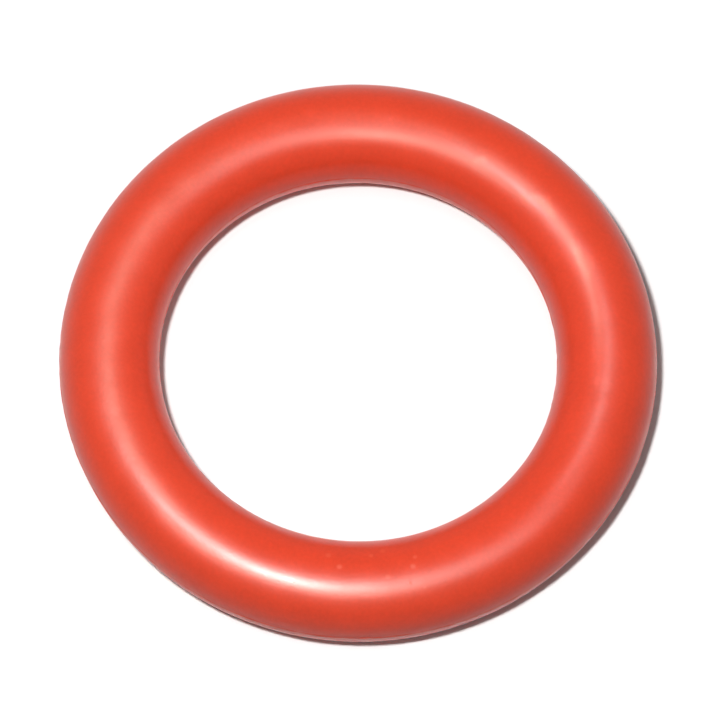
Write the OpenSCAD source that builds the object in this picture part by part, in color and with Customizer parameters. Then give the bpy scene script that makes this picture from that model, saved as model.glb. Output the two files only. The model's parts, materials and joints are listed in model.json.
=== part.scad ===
// A moulded silicone O-ring, as it lies relaxed: a round section turned once about the
// ring's axis. The two plates of its mould meet halfway up the section, and the trimmed
// flash of that parting plane runs as a fine ridge round the bore and round the rim.
// The origin is the ring's centre, in the parting plane, and +Z is the ring's axis.

/* [Ring] */
// Inside diameter of the relaxed ring, across the round section
inner_d = 20; // [6:0.5:60]
// Diameter of the round section
section_d = 5; // [1.5:0.1:8]

/* [Parting line] */
// How far the trimmed flash stands proud of the section, at the bore and at the rim
flash_proud = 0.05; // [0.02:0.01:0.15]
// Thickness of the trimmed flash, along the ring's axis
flash_t = 0.12; // [0.06:0.01:0.3]

/* [Hidden] */

section_r = section_d / 2;
// From the ring's axis to the centre of its section
pitch_r = inner_d / 2 + section_r;
// From the section's centre to the trimmed edge of the flash
flash_reach = section_r + flash_proud;
$fn = 128;

// The moulded section about its own centre: the round cord, and the flash across it
module section() {
    circle(r = section_r);
    square([2 * flash_reach, flash_t], center = true);
}

module o_ring() {
    color("#e64630")
        rotate_extrude()
            translate([pitch_r, 0])
                section();
}

o_ring();
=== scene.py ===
import json
import math

import bpy
import numpy as np
from mathutils import Matrix, Vector


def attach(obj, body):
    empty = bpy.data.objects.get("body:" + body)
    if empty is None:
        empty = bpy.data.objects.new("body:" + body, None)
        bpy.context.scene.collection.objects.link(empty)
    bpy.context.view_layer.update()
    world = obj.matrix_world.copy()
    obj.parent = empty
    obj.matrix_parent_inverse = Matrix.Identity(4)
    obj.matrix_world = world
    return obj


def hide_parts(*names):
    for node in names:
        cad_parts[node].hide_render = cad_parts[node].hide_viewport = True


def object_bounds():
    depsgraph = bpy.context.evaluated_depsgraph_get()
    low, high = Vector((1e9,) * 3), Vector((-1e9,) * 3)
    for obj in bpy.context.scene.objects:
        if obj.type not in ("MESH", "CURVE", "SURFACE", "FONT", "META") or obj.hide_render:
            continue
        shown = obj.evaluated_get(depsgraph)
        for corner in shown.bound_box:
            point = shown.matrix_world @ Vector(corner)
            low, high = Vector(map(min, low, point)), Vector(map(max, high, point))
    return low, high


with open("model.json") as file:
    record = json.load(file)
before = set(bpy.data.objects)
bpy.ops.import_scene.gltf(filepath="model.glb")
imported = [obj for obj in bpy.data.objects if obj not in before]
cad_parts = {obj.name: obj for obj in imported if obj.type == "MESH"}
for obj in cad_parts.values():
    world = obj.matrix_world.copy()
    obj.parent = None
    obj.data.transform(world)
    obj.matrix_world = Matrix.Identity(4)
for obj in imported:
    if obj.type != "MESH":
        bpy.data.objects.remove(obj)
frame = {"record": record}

cad_low, cad_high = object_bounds()

# Sizes of the ring, in metres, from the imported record
MM = 0.001
mounts = {mount["name"]: mount for mount in frame["record"]["mounts"]}
bore_r = mounts["bore"]["dims"]["r_mm"] * MM
rim_r = mounts["rim"]["dims"]["r_mm"] * MM
flash_t = mounts["rim"]["dims"]["length_mm"] * MM
section_r = -mounts["rest"]["pos_m"][2]
pitch_r = mounts["rest"]["pos_m"][0]
flash_proud = (rim_r - bore_r) / 2 - section_r

# Steps of the mesh: round the ring, and along each arc of the section between two ridges
STEPS_ROUND = 512
STEPS_ARC = 58
# Heights of the rows that draw a ridge, as shares of half the flash's thickness
RIDGE_ROWS = (0, 0.35, 0.6, 0.8, 1.0, 1.25, 1.6, 2.1, 2.8)
# Where the ridge's edge ends and where its foot meets the section, in the same shares
RIDGE_EDGE = 0.8
RIDGE_FOOT = 1.6
# The trimmed edge runs between these shares of the flash's full height
TRIM_LOW = 0.12
TRIM_HIGH = 0.55
# Depth of the slow unevenness of the moulded skin
SKIN_DEPTH = 0.004 * MM
# Waves of the skin and of the trimmed edge, as how often each repeats round the ring and round
# the section
SKIN_WAVES = ((3, 0), (7, 1), (11, 2), (19, 1), (26, 3), (41, 2))
TRIM_WAVES = ((5, 0), (13, 0), (29, 0), (47, 0), (83, 0), (131, 0))
# Each wave's height is drawn between these shares of the whole
WAVE_LOW = 0.6
WAVE_HIGH = 1.0
# Seeds of the waves' random phases and heights
SKIN_SEED = 3
BORE_SEED = 5
RIM_SEED = 6


def section_rows():
    """Angles of the section's points, from the rim up over the crown and round."""
    ridge = [math.asin(share * flash_t / 2 / section_r) for share in RIDGE_ROWS]
    first = ridge[-1]
    step = (math.pi - 2 * first) / STEPS_ARC
    arc = [first + step * i for i in range(1, STEPS_ARC)]
    upper = ridge + arc + [math.pi - angle for angle in reversed(ridge[1:])]
    return np.array(upper + [angle + math.pi for angle in upper])


def uneven(round_angle, section_angle, waves, seed):
    """A smooth uneven field on the ring's skin, between about -1 and 1."""
    rng = np.random.default_rng(seed)
    field = np.zeros(np.broadcast(round_angle, section_angle).shape)
    for turns, folds in waves:
        phase = rng.uniform(0, 2 * math.pi)
        share = rng.uniform(WAVE_LOW, WAVE_HIGH)
        field += share * np.sin(turns * round_angle + folds * section_angle + phase)
    return field / math.sqrt(len(waves))


def ridge_height(round_angle, section_angle):
    """How far the trimmed flash stands out of the round section."""
    height = np.abs(section_r * np.sin(section_angle)) / (flash_t / 2)
    share = np.clip((RIDGE_FOOT - height) / (RIDGE_FOOT - RIDGE_EDGE), 0, 1)
    profile = share * share * (3 - 2 * share)
    bore_side = np.cos(section_angle) < 0
    trim = np.where(
        bore_side,
        uneven(round_angle, section_angle, TRIM_WAVES, BORE_SEED),
        uneven(round_angle, section_angle, TRIM_WAVES, RIM_SEED),
    )
    level = TRIM_LOW + (TRIM_HIGH - TRIM_LOW) * np.clip(0.5 + 0.5 * trim, 0, 1)
    return flash_proud * profile * level


def make_ring():
    """The moulded ring, skin and trimmed parting line, as one closed mesh of quads."""
    rows = section_rows()
    turns = np.linspace(0, 2 * math.pi, STEPS_ROUND, endpoint=False)
    u, v = np.meshgrid(turns, rows, indexing="ij")
    reach = section_r + ridge_height(u, v)
    reach += SKIN_DEPTH * uneven(u, v, SKIN_WAVES, SKIN_SEED)
    from_axis = pitch_r + reach * np.cos(v)
    points = np.stack(
        [from_axis * np.cos(u), from_axis * np.sin(u), reach * np.sin(v)], axis=-1
    )
    count = len(rows)
    i, j = np.meshgrid(np.arange(STEPS_ROUND), np.arange(count), indexing="ij")
    i_next = (i + 1) % STEPS_ROUND
    j_next = (j + 1) % count
    faces = np.stack(
        [i * count + j, i_next * count + j, i_next * count + j_next, i * count + j_next],
        axis=-1,
    )
    mesh = bpy.data.meshes.new("silicone_ring")
    mesh.from_pydata(points.reshape(-1, 3).tolist(), [], faces.reshape(-1, 4).tolist())
    mesh.shade_smooth()
    ring = bpy.data.objects.new("silicone_ring", mesh)
    bpy.context.scene.collection.objects.link(ring)
    return ring


class Shading:
    """The nodes of a material or a world, with short ways to add those that the scene uses."""

    # The Mix node's sockets for two colours and for their mixture
    COLOUR_A = 6
    COLOUR_B = 7
    COLOUR_OUT = 2

    def __init__(self, owner, output):
        owner.use_nodes = True
        self.tree = owner.node_tree
        self.tree.nodes.clear()
        self.surface = self.add(output).inputs["Surface"]

    def add(self, kind, **inputs):
        """A new node. Each named input takes a number, a colour or another node's output."""
        node = self.tree.nodes.new("ShaderNode" + kind)
        for name, value in inputs.items():
            self.feed(node.inputs[name.replace("_", " ")], value)
        return node

    def feed(self, socket, value):
        if isinstance(value, bpy.types.NodeSocket):
            self.tree.links.new(value, socket)
        else:
            socket.default_value = value

    def math(self, operation, first, second, third=0):
        node = self.add("Math")
        node.operation = operation
        for socket, value in zip(node.inputs, (first, second, third)):
            self.feed(socket, value)
        return node.outputs["Value"]

    def vector_math(self, operation, first, second):
        node = self.add("VectorMath")
        node.operation = operation
        self.feed(node.inputs[0], first)
        self.feed(node.inputs["Scale" if operation == "SCALE" else 1], second)
        gives_number = operation in ("DISTANCE", "DOT_PRODUCT", "LENGTH")
        return node.outputs["Value" if gives_number else "Vector"]

    def noise(self, vector, size, detail):
        """Noise between 0 and 1, with patches of about the given size."""
        return self.add("TexNoise", Vector=vector, Scale=1 / size, Detail=detail).outputs["Fac"]

    def ramp(self, value, low, high, to_low, to_high):
        """Turns a value between low and high smoothly into one between to_low and to_high."""
        node = self.add(
            "MapRange", Value=value, From_Min=low, From_Max=high, To_Min=to_low, To_Max=to_high
        )
        node.interpolation_type = "SMOOTHSTEP"
        return node.outputs["Result"]

    def mix_colour(self, share, first, second):
        node = self.add("Mix")
        node.data_type = "RGBA"
        self.feed(node.inputs["Factor"], share)
        self.feed(node.inputs[self.COLOUR_A], first)
        self.feed(node.inputs[self.COLOUR_B], second)
        return node.outputs[self.COLOUR_OUT]

    def mix_shader(self, share, first, second):
        node = self.add("MixShader", Fac=share)
        self.feed(node.inputs[1], first)
        self.feed(node.inputs[2], second)
        return node.outputs["Shader"]

    def is_seen(self):
        """1 for the rays that show the background, and 0 for those that only carry its light."""
        path = self.add("LightPath").outputs
        seen = 0.0
        for ray in ("Is Camera Ray", "Is Glossy Ray", "Is Transmission Ray"):
            seen = self.math("MAXIMUM", seen, path[ray])
        return seen


def place(azimuth, elevation, distance):
    """A point round the ring: azimuth from +X towards +Y, and elevation above the table."""
    a = math.radians(azimuth)
    e = math.radians(elevation)
    return distance * Vector((math.cos(a) * math.cos(e), math.sin(a) * math.cos(e), math.sin(e)))


def skin_point(round_angle, section_angle):
    """A point on the ring's skin. The section's angle runs from the rim up over the crown."""
    u = math.radians(round_angle)
    v = math.radians(section_angle)
    from_axis = pitch_r + section_r * math.cos(v)
    return Vector((from_axis * math.cos(u), from_axis * math.sin(u), section_r * math.sin(v)))


# The silicone's colour. The gloss adds the pale room to it, so the red under the gloss has only
# these shares of the record's red, green and blue.
RED = frame["record"]["materials"][0]["base_color"]
DEEPER = (1, 0.87, 0.75)
# Patches and fine mottles in the colour: their size, and how much they lighten and darken it
PATCH_SIZE = 1.4 * MM
PATCH_CONTRAST = 0.14
MOTTLE_SIZE = 0.20 * MM
MOTTLE_CONTRAST = 0.16
# Most of the patches' noise lies between these values
PATCH_LOW = 0.3
PATCH_HIGH = 0.7
# Detail of the noise in the patches, and in the mottles and the bump
PATCH_DETAIL = 3
FINE_DETAIL = 2
SILICONE_IOR = 1.41
# The satin of the skin: its roughness where it is smoothest and where it is dullest
SATIN = (0.33, 0.36)
# Fine grain and slow lumps in the skin, as their size and their depth
GRAIN = (0.16 * MM, 0.0045 * MM)
LUMPS = (1.4 * MM, 0.008 * MM)
# Fine pits in the skin: how far apart they lie, their radius and their depth
PIT_SPACING = 0.4 * MM
PIT_R = 0.06 * MM
PIT_DEPTH = 0.003 * MM
# Grains of dust on the skin, as the angle round the ring, the angle of the section and the radius
DUST = (
    (264.0, 111, 0.16 * MM),
    (267.0, 97, 0.16 * MM),
    (274.5, 113, 0.13 * MM),
    (277.5, 120, 0.15 * MM),
    (278.0, 84, 0.13 * MM),
    (284.0, 92, 0.15 * MM),
    (285.0, 103, 0.12 * MM),
    (282.5, 73, 0.09 * MM),
    (285.5, 64, 0.09 * MM),
)
# A grain fades out between these shares of its radius
DUST_CORE = 0.3
DUST_EDGE = 1.3
DUST_COLOUR = (0.93, 0.092, 0.036, 1)
DUST_ROUGHNESS = 0.6
DUST_HEIGHT = 0.004 * MM


def silicone_material():
    """Satin red silicone: faint patches in its colour, fine grain in its gloss, specks of dust."""
    material = bpy.data.materials.new("satin_red_silicone")
    skin = Shading(material, "OutputMaterial")
    here = skin.add("TexCoord").outputs["Object"]
    dust = 0.0
    for round_angle, section_angle, radius in DUST:
        away = skin.vector_math("DISTANCE", here, skin_point(round_angle, section_angle))
        grain = skin.ramp(away, DUST_CORE * radius, DUST_EDGE * radius, 1, 0)
        dust = skin.math("MAXIMUM", dust, grain)
    patches = skin.noise(here, PATCH_SIZE, PATCH_DETAIL)
    mottles = skin.noise(here, MOTTLE_SIZE, FINE_DETAIL)
    shade = 1 - (PATCH_CONTRAST + MOTTLE_CONTRAST) / 2
    shade = skin.math("MULTIPLY_ADD", patches, PATCH_CONTRAST, shade)
    shade = skin.math("MULTIPLY_ADD", mottles, MOTTLE_CONTRAST, shade)
    deep_red = [channel * share for channel, share in zip(RED, DEEPER)]
    red = skin.vector_math("SCALE", deep_red, shade)
    satin = skin.ramp(patches, PATCH_LOW, PATCH_HIGH, *SATIN)
    to_pit = skin.add("TexVoronoi", Vector=here, Scale=1 / PIT_SPACING).outputs["Distance"]
    pits = skin.ramp(to_pit, 0, PIT_R / PIT_SPACING, 1, 0)
    height = skin.math("MULTIPLY", dust, DUST_HEIGHT)
    height = skin.math("MULTIPLY_ADD", pits, -PIT_DEPTH, height)
    for size, depth in (GRAIN, LUMPS):
        bumps = skin.noise(here, size, FINE_DETAIL)
        height = skin.math("MULTIPLY_ADD", bumps, depth, height)
    # The height is in metres, so the bump takes it as it is
    bump = skin.add("Bump", Height=height, Distance=1.0)
    shader = skin.add(
        "BsdfPrincipled",
        Base_Color=skin.mix_colour(dust, red, DUST_COLOUR),
        Roughness=skin.math("MULTIPLY_ADD", dust, DUST_ROUGHNESS - SATIN[1], satin),
        IOR=SILICONE_IOR,
        Normal=bump.outputs["Normal"],
    )
    skin.feed(skin.surface, shader.outputs["BSDF"])
    return material


TABLE_HALF = 0.6
# The table's colour near the ring, as the camera and the gloss see it
TABLE_WHITE = (0.85, 0.85, 0.85, 1)
# Its colour in the light that it sends back to the ring. It turns brighter and warmer towards
# this azimuth, at the back left, over this distance to either side of the middle: painted bounce
# light, which stands in for more light falling on that side of the ring and is no change in the
# table's own colour.
BOUNCE_NEAR = (0.22, 0.24, 0.23, 1)
BOUNCE_FAR = (0.42, 0.40, 0.33, 1)
BOUNCE_AZIMUTH = 140
BOUNCE_REACH = 25 * MM
# Away from the ring it is seen as plain white, from the first of these distances to the next
TABLE_FADE = (25 * MM, 45 * MM)


def table_material():
    """A white table top that keeps the ring's shadow, and is plain white far from the ring."""
    material = bpy.data.materials.new("white_table")
    table = Shading(material, "OutputMaterial")
    here = table.add("TexCoord").outputs["Object"]
    # Painted bounce light: the table's colour in the light it sends back turns brighter and warmer
    # towards the back left
    across = table.vector_math("DOT_PRODUCT", here, place(BOUNCE_AZIMUTH, 0, 1))
    painted_light_side = table.ramp(across, -BOUNCE_REACH, BOUNCE_REACH, 0, 1)
    bounce = table.add("BsdfDiffuse", Color=table.mix_colour(painted_light_side, BOUNCE_NEAR, BOUNCE_FAR))
    white = table.add("BsdfDiffuse", Color=TABLE_WHITE)
    plain = table.add("Emission", Strength=1.0)
    away = table.vector_math("LENGTH", here, (0, 0, 0))
    far = table.ramp(away, *TABLE_FADE, 0, 1)
    seen = table.mix_shader(far, white.outputs["BSDF"], plain.outputs["Emission"])
    shown = table.mix_shader(table.is_seen(), bounce.outputs["BSDF"], seen)
    table.feed(table.surface, shown)
    return material


def make_floor():
    """The table top, which the ring lies on."""
    mesh = bpy.data.meshes.new("table_top")
    corners = ((-1, -1), (1, -1), (1, 1), (-1, 1))
    points = [(x * TABLE_HALF, y * TABLE_HALF, cad_low.z) for x, y in corners]
    mesh.from_pydata(points, [], [(0, 1, 2, 3)])
    mesh.materials.append(table_material())
    floor = bpy.data.objects.new("table_top", mesh)
    bpy.context.scene.collection.objects.link(floor)
    return floor


# Every lamp's distance, and a spot's own radius, in metres
LAMP_DISTANCE = 0.4
SPOT_R = 0.004
# Each lamp has a name, its azimuth and elevation in degrees and its level, at which 1 shows
# a white card as white. A soft box, a table lamp or a shine then has half its width in degrees.
SOFT_BOXES = (
    ("key", 185, 68, 0.508, 2),
    ("fill", 325, 72, 0.475, 16),
)
TABLE_LAMPS = (
    ("table_lamp", 249.5, 72.2, 1.05, 2),
    ("table_fill", 249.5, 80, 0.38, 30),
)
# Shines show in the gloss alone, and end with their colour
WHITE = (1.0, 1.0, 1.0)
WARM = (1.0, 0.96, 0.82)
SHINES = (
    ("flash_left", 217, 58, 0.38, 9, WARM),
    ("flash", 263, 66, 0.62, 10, WARM),
)
# A shine spot then has the angle round the ring that it is aimed at, and its pool's radius
SHINE_SPOTS = (
    ("left_spot", 214, 85, 4.5, 178, 12.1 * MM, WARM),
    ("right_spot", 86, 82, 1.0, -2, 8.7 * MM, WHITE),
    ("front_spot", 228, 73, 1.7, 265, 13.6 * MM, WHITE),
    ("back_spot", 144, 65, 0.52, 72, 15.8 * MM, WARM),
)


def add_lamp(name, kind, where, aim):
    """A lamp that the camera can't see, at one place and aimed at another."""
    data = bpy.data.lights.new(name, kind)
    lamp = bpy.data.objects.new(name, data)
    lamp.location = where
    lamp.rotation_mode = "QUATERNION"
    lamp.rotation_quaternion = (aim - where).to_track_quat("-Z", "Y")
    lamp.visible_camera = False
    bpy.context.scene.collection.objects.link(lamp)
    return lamp


def add_disk(name, azimuth, elevation, level, half_width, colour=WHITE):
    """A round soft box. Alone it shows a white card that faces it at the given level."""
    lamp = add_lamp(name, "AREA", place(azimuth, elevation, LAMP_DISTANCE), Vector((0, 0, 0)))
    lamp.data.shape = "DISK"
    lamp.data.size = 2 * LAMP_DISTANCE * math.tan(math.radians(half_width))
    lamp.data.energy = level * (math.pi * LAMP_DISTANCE) ** 2
    lamp.data.color = colour
    return lamp


def add_spot(name, azimuth, elevation, level, round_angle, reach, colour):
    """A spot whose soft pool of light lies on one stretch of the ring."""
    aim = place(round_angle, 0, pitch_r) + Vector((0, 0, section_r))
    lamp = add_lamp(name, "SPOT", aim + place(azimuth, elevation, LAMP_DISTANCE), aim)
    lamp.data.spot_size = 2 * math.atan(reach / LAMP_DISTANCE)
    lamp.data.spot_blend = 1
    lamp.data.shadow_soft_size = SPOT_R
    lamp.data.energy = level * (2 * math.pi * LAMP_DISTANCE) ** 2
    lamp.data.color = colour
    return lamp


def light_only(lamp, piece):
    """Keeps a lamp's light to one piece."""
    lit = bpy.data.collections.new(lamp.name + "_lights")
    lit.objects.link(piece)
    lamp.light_linking.receiver_collection = lit


def light_scene(ring, floor):
    """Soft boxes for the ring, lamps for the table, and shines that show in the gloss alone."""
    for lamp in SOFT_BOXES:
        light_only(add_disk(*lamp), ring)
    for lamp in TABLE_LAMPS:
        light_only(add_disk(*lamp), floor)
    shines = [add_disk(*lamp) for lamp in SHINES] + [add_spot(*lamp) for lamp in SHINE_SPOTS]
    for lamp in shines:
        lamp.visible_diffuse = False


# The room: its colour, its strength in the light that it gives, and its strength where it is seen
ROOM_COLOUR = (0.8, 0.8, 0.8, 1)
ROOM_LIGHT = 0.03
ROOM_SEEN = 1.0


def set_world():
    """Even dim light on the ring, and a pale room in its gloss and behind the table's edge."""
    world = bpy.data.worlds.new("studio")
    bpy.context.scene.world = world
    room = Shading(world, "OutputWorld")
    dim = room.add("Background", Color=ROOM_COLOUR, Strength=ROOM_LIGHT).outputs["Background"]
    pale = room.add("Background", Color=ROOM_COLOUR, Strength=ROOM_SEEN).outputs["Background"]
    room.feed(room.surface, room.mix_shader(room.is_seen(), dim, pale))


# The camera: its place round the ring and above it in degrees, its small roll, its distance in
# metres and how far it sees
CAMERA_AZIMUTH = -90
CAMERA_ELEVATION = 66.9
CAMERA_ROLL = 1.6
CAMERA_DISTANCE = 0.5
CAMERA_SEES_TO = 10
SENSOR_MM = 36
# The photograph's scale on the ring, and how far the ring's centre lies from its middle
PHOTO_SIDE_PX = 720
PITCH_R_PX = 248.8
CENTRE_RIGHT_PX = -1.8
CENTRE_DOWN_PX = 0.4


def make_camera():
    """The camera, with the ring in its frame as the photograph has it."""
    data = bpy.data.cameras.new("camera")
    camera = bpy.data.objects.new("camera", data)
    bpy.context.scene.collection.objects.link(camera)
    metres_per_px = pitch_r / PITCH_R_PX
    data.sensor_width = SENSOR_MM
    data.lens = SENSOR_MM * CAMERA_DISTANCE / (PHOTO_SIDE_PX * metres_per_px)
    data.clip_end = CAMERA_SEES_TO
    back = place(CAMERA_AZIMUTH, CAMERA_ELEVATION, 1)
    turn = (-back).to_track_quat("-Z", "Y").to_matrix()
    turn = turn @ Matrix.Rotation(math.radians(CAMERA_ROLL), 3, "Z")
    aim = turn @ Vector((-CENTRE_RIGHT_PX, CENTRE_DOWN_PX, 0)) * metres_per_px
    camera.matrix_world = Matrix.Translation(aim + back * CAMERA_DISTANCE) @ turn.to_4x4()
    bpy.context.scene.camera = camera


ring = make_ring()
ring.data.materials.append(silicone_material())
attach(ring, "root")
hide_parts("o_ring")

light_scene(ring, make_floor())
set_world()
make_camera()
bpy.context.scene.view_settings.view_transform = "Standard"
